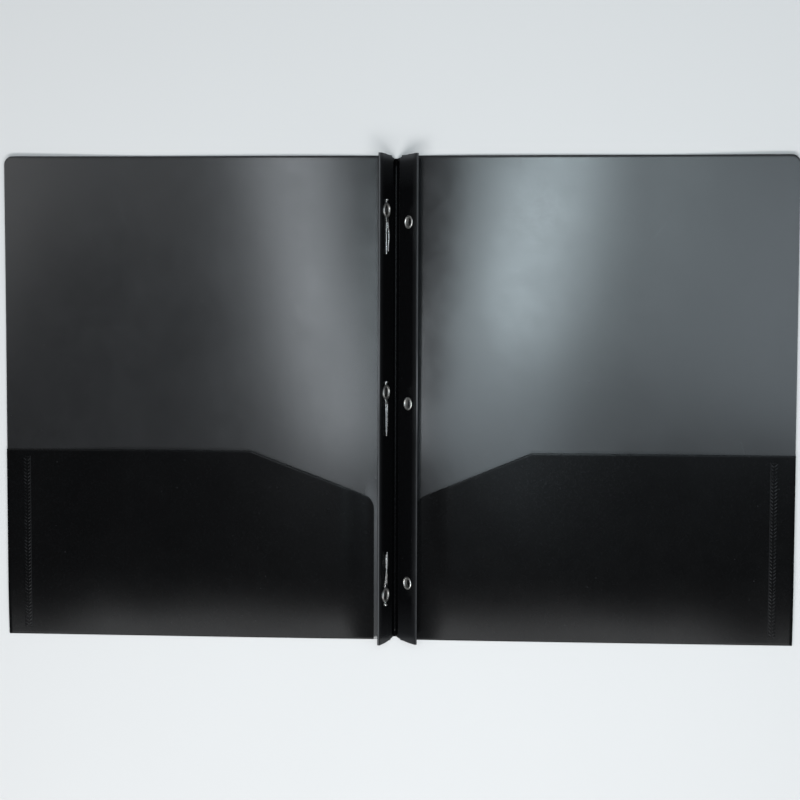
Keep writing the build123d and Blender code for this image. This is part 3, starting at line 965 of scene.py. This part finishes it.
lampHeight = 1.05   # metres
lampTint = (0.98, 1.0, 1.02)
worldTone = (0.21, 0.21, 0.214)
lamps = {   # metres and watts; the long side lies along the given direction, facing down or a target
    "rightTop": {"place": (0.112, 0.162), "along": (0.24, 0.97), "size": (0.125, 0.343), "power": 2.6,
                 "tint": (0.84, 1.0, 1.07)},
    "rightLow": {"place": (0.068, -0.092), "along": (0.56, 0.83), "size": (0.158, 0.119), "power": 0.37,
                 "tint": (0.85, 1.0, 1.10)},
    "leftLong": {"place": (-0.170, 0.131), "along": (-0.19, 0.98), "size": (0.10, 0.533), "power": 1.6,
                 "tint": (0.93, 1.0, 1.06)},
    "rightSide": {"place": (0.50, 0.094), "along": (0.12, 0.99), "size": (0.46, 0.417), "power": 1.95,
                  "tint": (0.86, 1.0, 1.10)},
    "leftSide": {"place": (-0.712, 0.259), "along": (-0.64, 0.77), "size": (0.50, 0.458), "power": 1.13},
    "near": {"place": (-0.05, -0.70), "target": (-0.05, -0.1), "along": (1.0, 0.0), "size": (0.38, 1.25),
             "power": 15.0},
}


def standing(place, right, up, back):  # where a lamp or camera stands, and which way it faces
    return Matrix.Translation(place) @ Matrix((right, up, back)).transposed().to_4x4()


def placeLamp(name, lamp):
    light = bpy.data.lights.new(name, "AREA")
    light.shape = "RECTANGLE"
    light.size, light.size_y = lamp["size"]
    light.energy = lamp["power"]
    light.color = lamp.get("tint", lampTint)
    place = Vector((*lamp["place"], lampHeight))
    target = Vector((*lamp.get("target", lamp["place"]), 0.0))
    back = (place - target).normalized()
    long = Vector((*lamp["along"], 0.0))
    long = (long - back * long.dot(back)).normalized()
    holder = bpy.data.objects.new(name, light)
    holder.matrix_world = standing(place, long.cross(back), long, back)
    bpy.context.scene.collection.objects.link(holder)


for name, lamp in lamps.items():
    placeLamp(name, lamp)

world = bpy.data.worlds.new("studio")
world.use_nodes = True
world.node_tree.nodes["Background"].inputs["Color"].default_value = (*worldTone, 1.0)
bpy.context.scene.world = world

cameraLook = {
    "place": (0.0572, 0.0486, 0.9069), "target": (0.0026, -0.0003, 0.0),   # metres
    "roll": 0.205,         # degrees
    "lens": 67.87, "sensor": 36.0,   # mm
    "nearest": 0.01,       # metres
}


def makeCamera():
    place, target = Vector(cameraLook["place"]), Vector(cameraLook["target"])
    forward = (target - place).normalized()
    right = forward.cross(Vector((0, 1, 0))).normalized()
    up = right.cross(forward)
    roll = math.radians(cameraLook["roll"])
    rolledRight = right * math.cos(roll) + up * math.sin(roll)
    rolledUp = up * math.cos(roll) - right * math.sin(roll)
    lens = bpy.data.cameras.new("camera")
    lens.lens = cameraLook["lens"]
    lens.sensor_width = cameraLook["sensor"]
    lens.clip_start = cameraLook["nearest"]
    camera = bpy.data.objects.new("camera", lens)
    camera.matrix_world = standing(place, rolledRight, rolledUp, -forward)
    bpy.context.scene.collection.objects.link(camera)
    bpy.context.scene.camera = camera


makeCamera()
bpy.context.scene.view_settings.view_transform = "Standard"
print("stage set")
